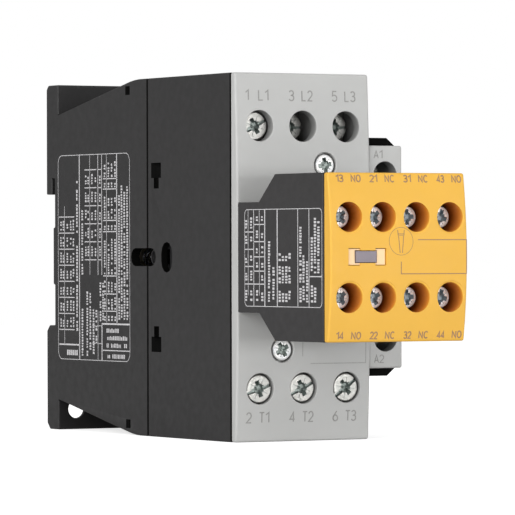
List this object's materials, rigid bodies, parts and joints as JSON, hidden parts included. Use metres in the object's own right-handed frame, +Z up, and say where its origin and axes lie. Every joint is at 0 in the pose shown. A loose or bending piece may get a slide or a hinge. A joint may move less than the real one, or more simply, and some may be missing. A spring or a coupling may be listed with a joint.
{
  "type": "din rail contactor",
  "caption": "Rail-mounted three-pole contactor: black casing, light grey front with screw terminals, coil terminals at the side and a yellow clip-on auxiliary contact block.",
  "frame": {"origin": "centre of the flat floor of the rail recess, at mid-width and mid-height", "axes": "+Y points from the front face to the rail and wall, +X to the right seen from the front, +Z up"},
  "size_m": [0.045, 0.1395, 0.085],
  "materials": {
    "black_plastic": "satin, fine moulded texture",
    "grey_plastic": "satin",
    "yellow_plastic": "satin",
    "dark_plastic": "matte",
    "natural_plastic": "satin",
    "indicator_plastic": "satin",
    "zinc_steel": "bright zinc plating",
    "core_steel": "laminated, ground pole faces",
    "spring_steel": "drawn wire",
    "copper": "stamped strip",
    "winding_copper": "lacquered wire",
    "rubber": "matte"
  },
  "bodies": {
    "casing": {"rear_housing": "black_plastic", "front_housing": "black_plastic", "front_cover": "grey_plastic", "coil_terminal_cover": "grey_plastic", "rail_latch_spring": "spring_steel", "coil_bobbin": "natural_plastic", "coil_winding": "winding_copper", "magnet_yoke": "core_steel", "yoke_damper": "rubber", "return_spring_left": "spring_steel", "return_spring_right": "spring_steel", "fixed_contact_l1": "copper", "fixed_contact_l2": "copper", "fixed_contact_l3": "copper", "fixed_contact_t1": "copper", "fixed_contact_t2": "copper", "fixed_contact_t3": "copper", "cover_screw_top": "zinc_steel", "cover_screw_bottom": "zinc_steel", "aux_housing": "black_plastic", "aux_front_cap": "yellow_plastic"},
    "rail_latch": {"rail_latch": "dark_plastic"},
    "contact_carrier": {"contact_carrier": "dark_plastic", "armature": "core_steel", "contact_spring_1": "spring_steel", "contact_spring_2": "spring_steel", "contact_spring_3": "spring_steel"},
    "aux_slider": {"aux_slider": "dark_plastic", "position_indicator": "indicator_plastic"},
    "moving_bridge_1": {"moving_bridge_1": "copper"},
    "moving_bridge_2": {"moving_bridge_2": "copper"},
    "moving_bridge_3": {"moving_bridge_3": "copper"},
    "aux_bridge_1": {"aux_bridge_1": "copper"},
    "aux_bridge_2": {"aux_bridge_2": "copper"},
    "aux_bridge_3": {"aux_bridge_3": "copper"},
    "aux_bridge_4": {"aux_bridge_4": "copper"},
    "clamp_L1": {"terminal_clamp_l1": "zinc_steel"},
    "screw_L1": {"terminal_screw_l1": "zinc_steel"},
    "clamp_L2": {"terminal_clamp_l2": "zinc_steel"},
    "screw_L2": {"terminal_screw_l2": "zinc_steel"},
    "clamp_L3": {"terminal_clamp_l3": "zinc_steel"},
    "screw_L3": {"terminal_screw_l3": "zinc_steel"},
    "clamp_T1": {"terminal_clamp_t1": "zinc_steel"},
    "screw_T1": {"terminal_screw_t1": "zinc_steel"},
    "clamp_T2": {"terminal_clamp_t2": "zinc_steel"},
    "screw_T2": {"terminal_screw_t2": "zinc_steel"},
    "clamp_T3": {"terminal_clamp_t3": "zinc_steel"},
    "screw_T3": {"terminal_screw_t3": "zinc_steel"},
    "clamp_A1": {"coil_terminal_clamp_a1": "zinc_steel"},
    "screw_A1": {"coil_terminal_screw_a1": "zinc_steel"},
    "clamp_A2": {"coil_terminal_clamp_a2": "zinc_steel"},
    "screw_A2": {"coil_terminal_screw_a2": "zinc_steel"},
    "screw_aux_13": {"aux_terminal_screw_top_1": "zinc_steel"},
    "screw_aux_14": {"aux_terminal_screw_bottom_1": "zinc_steel"},
    "screw_aux_21": {"aux_terminal_screw_top_2": "zinc_steel"},
    "screw_aux_22": {"aux_terminal_screw_bottom_2": "zinc_steel"},
    "screw_aux_31": {"aux_terminal_screw_top_3": "zinc_steel"},
    "screw_aux_32": {"aux_terminal_screw_bottom_3": "zinc_steel"},
    "screw_aux_43": {"aux_terminal_screw_top_4": "zinc_steel"},
    "screw_aux_44": {"aux_terminal_screw_bottom_4": "zinc_steel"}
  },
  "joints": [
    {"name": "carrier_travel", "type": "slide", "parent": "casing", "child": "contact_carrier", "axis": [0, 1, 0], "range_m": [0, 0.0055], "stiffness_N_per_m": 500, "springref_m": -0.008, "deforming": ["return_spring_left", "return_spring_right"]},
    {"name": "bridge_1_overtravel", "type": "slide", "parent": "contact_carrier", "child": "moving_bridge_1", "axis": [0, 1, 0], "range_m": [-0.0015, 0], "deforming": ["contact_spring_1"]},
    {"name": "bridge_2_overtravel", "type": "slide", "parent": "contact_carrier", "child": "moving_bridge_2", "axis": [0, 1, 0], "range_m": [-0.0015, 0], "deforming": ["contact_spring_2"]},
    {"name": "bridge_3_overtravel", "type": "slide", "parent": "contact_carrier", "child": "moving_bridge_3", "axis": [0, 1, 0], "range_m": [-0.0015, 0], "deforming": ["contact_spring_3"]},
    {"name": "aux_slider_travel", "type": "slide", "parent": "casing", "child": "aux_slider", "axis": [0, 1, 0], "range_m": [0, 0.0055]},
    {"name": "aux_bridge_1_overtravel", "type": "slide", "parent": "aux_slider", "child": "aux_bridge_1", "axis": [0, 1, 0], "range_m": [-0.0015, 0]},
    {"name": "aux_bridge_2_overtravel", "type": "slide", "parent": "aux_slider", "child": "aux_bridge_2", "axis": [0, 1, 0], "range_m": [-0.0015, 0]},
    {"name": "aux_bridge_3_overtravel", "type": "slide", "parent": "aux_slider", "child": "aux_bridge_3", "axis": [0, 1, 0], "range_m": [-0.0015, 0]},
    {"name": "aux_bridge_4_overtravel", "type": "slide", "parent": "aux_slider", "child": "aux_bridge_4", "axis": [0, 1, 0], "range_m": [-0.0015, 0]},
    {"name": "latch_travel", "type": "slide", "parent": "casing", "child": "rail_latch", "axis": [0, 0, -1], "range_m": [0, 0.003], "stiffness_N_per_m": 400, "springref_m": -0.004, "deforming": ["rail_latch_spring"]},
    {"name": "clamp_L1_travel", "type": "slide", "parent": "casing", "child": "clamp_L1", "axis": [0, 1, 0], "range_m": [-0.002, 0.004]},
    {"name": "screw_L1_turn", "type": "hinge", "parent": "clamp_L1", "child": "screw_L1", "pos_m": [-0.0162, -0.09, 0.03025], "axis": [0, 1, 0], "range_deg": [-1028.6, 2057.2]},
    {"name": "clamp_L2_travel", "type": "slide", "parent": "casing", "child": "clamp_L2", "axis": [0, 1, 0], "range_m": [-0.0059, 0.0001]},
    {"name": "screw_L2_turn", "type": "hinge", "parent": "clamp_L2", "child": "screw_L2", "pos_m": [-0.0047, -0.09, 0.03025], "axis": [0, 1, 0], "range_deg": [-3034.3, 51.5]},
    {"name": "clamp_L3_travel", "type": "slide", "parent": "casing", "child": "clamp_L3", "axis": [0, 1, 0], "range_m": [-0.0049, 0.0011]},
    {"name": "screw_L3_turn", "type": "hinge", "parent": "clamp_L3", "child": "screw_L3", "pos_m": [0.0068, -0.09, 0.03025], "axis": [0, 1, 0], "range_deg": [-2520, 565.8]},
    {"name": "clamp_T1_travel", "type": "slide", "parent": "casing", "child": "clamp_T1", "axis": [0, 1, 0], "range_m": [-0.00025, 0.00575]},
    {"name": "screw_T1_turn", "type": "hinge", "parent": "clamp_T1", "child": "screw_T1", "pos_m": [-0.0162, -0.09, -0.03025], "axis": [0, 1, 0], "range_deg": [-128.6, 2957.2]},
    {"name": "clamp_T2_travel", "type": "slide", "parent": "casing", "child": "clamp_T2", "axis": [0, 1, 0], "range_m": [-0.0004, 0.0056]},
    {"name": "screw_T2_turn", "type": "hinge", "parent": "clamp_T2", "child": "screw_T2", "pos_m": [-0.0047, -0.09, -0.03025], "axis": [0, 1, 0], "range_deg": [-205.8, 2880]},
    {"name": "clamp_T3_travel", "type": "slide", "parent": "casing", "child": "clamp_T3", "axis": [0, 1, 0], "range_m": [-0.0001, 0.0059]},
    {"name": "screw_T3_turn", "type": "hinge", "parent": "clamp_T3", "child": "screw_T3", "pos_m": [0.0068, -0.09, -0.03025], "axis": [0, 1, 0], "range_deg": [-51.5, 3034.3]},
    {"name": "clamp_A1_travel", "type": "slide", "parent": "casing", "child": "clamp_A1", "axis": [0, 1, 0], "range_m": [-0.0054, 0.0017]},
    {"name": "screw_A1_turn", "type": "hinge", "parent": "clamp_A1", "child": "screw_A1", "pos_m": [0.0179, -0.09, 0.0192], "axis": [0, 1, 0], "range_deg": [-3240, 1020]},
    {"name": "clamp_A2_travel", "type": "slide", "parent": "casing", "child": "clamp_A2", "axis": [0, 1, 0], "range_m": [-0.0054, 0.0017]},
    {"name": "screw_A2_turn", "type": "hinge", "parent": "clamp_A2", "child": "screw_A2", "pos_m": [0.0179, -0.09, -0.019], "axis": [0, 1, 0], "range_deg": [-3240, 1020]},
    {"name": "screw_aux_13_turn", "type": "hinge", "parent": "casing", "child": "screw_aux_13", "pos_m": [-0.0175, -0.129, 0.009], "axis": [0, 1, 0], "range_deg": [-1080, 0]},
    {"name": "screw_aux_14_turn", "type": "hinge", "parent": "casing", "child": "screw_aux_14", "pos_m": [-0.0175, -0.129, -0.009], "axis": [0, 1, 0], "range_deg": [-1080, 0]},
    {"name": "screw_aux_21_turn", "type": "hinge", "parent": "casing", "child": "screw_aux_21", "pos_m": [-0.00875, -0.129, 0.009], "axis": [0, 1, 0], "range_deg": [-1080, 0]},
    {"name": "screw_aux_22_turn", "type": "hinge", "parent": "casing", "child": "screw_aux_22", "pos_m": [-0.00875, -0.129, -0.009], "axis": [0, 1, 0], "range_deg": [-1080, 0]},
    {"name": "screw_aux_31_turn", "type": "hinge", "parent": "casing", "child": "screw_aux_31", "pos_m": [0, -0.129, 0.009], "axis": [0, 1, 0], "range_deg": [-1080, 0]},
    {"name": "screw_aux_32_turn", "type": "hinge", "parent": "casing", "child": "screw_aux_32", "pos_m": [0, -0.129, -0.009], "axis": [0, 1, 0], "range_deg": [-1080, 0]},
    {"name": "screw_aux_43_turn", "type": "hinge", "parent": "casing", "child": "screw_aux_43", "pos_m": [0.00875, -0.129, 0.009], "axis": [0, 1, 0], "range_deg": [-1080, 0]},
    {"name": "screw_aux_44_turn", "type": "hinge", "parent": "casing", "child": "screw_aux_44", "pos_m": [0.00875, -0.129, -0.009], "axis": [0, 1, 0], "range_deg": [-1080, 0]}
  ],
  "couplings": [
    {"joint": "bridge_1_overtravel", "follows": "carrier_travel", "ratio": -0.2727},
    {"joint": "bridge_2_overtravel", "follows": "carrier_travel", "ratio": -0.2727},
    {"joint": "bridge_3_overtravel", "follows": "carrier_travel", "ratio": -0.2727},
    {"joint": "aux_slider_travel", "follows": "carrier_travel", "ratio": 1},
    {"joint": "aux_bridge_1_overtravel", "follows": "carrier_travel", "ratio": -0.2727},
    {"joint": "aux_bridge_2_overtravel", "follows": "carrier_travel", "ratio": -0.2727},
    {"joint": "aux_bridge_3_overtravel", "follows": "carrier_travel", "ratio": -0.2727},
    {"joint": "aux_bridge_4_overtravel", "follows": "carrier_travel", "ratio": -0.2727},
    {"joint": "screw_L1_turn", "follows": "clamp_L1_travel", "rad_per_m": 8976},
    {"joint": "screw_L2_turn", "follows": "clamp_L2_travel", "rad_per_m": 8976},
    {"joint": "screw_L3_turn", "follows": "clamp_L3_travel", "rad_per_m": 8976},
    {"joint": "screw_T1_turn", "follows": "clamp_T1_travel", "rad_per_m": 8976},
    {"joint": "screw_T2_turn", "follows": "clamp_T2_travel", "rad_per_m": 8976},
    {"joint": "screw_T3_turn", "follows": "clamp_T3_travel", "rad_per_m": 8976},
    {"joint": "screw_A1_turn", "follows": "clamp_A1_travel", "rad_per_m": 10472},
    {"joint": "screw_A2_turn", "follows": "clamp_A2_travel", "rad_per_m": 10472}
  ]
}
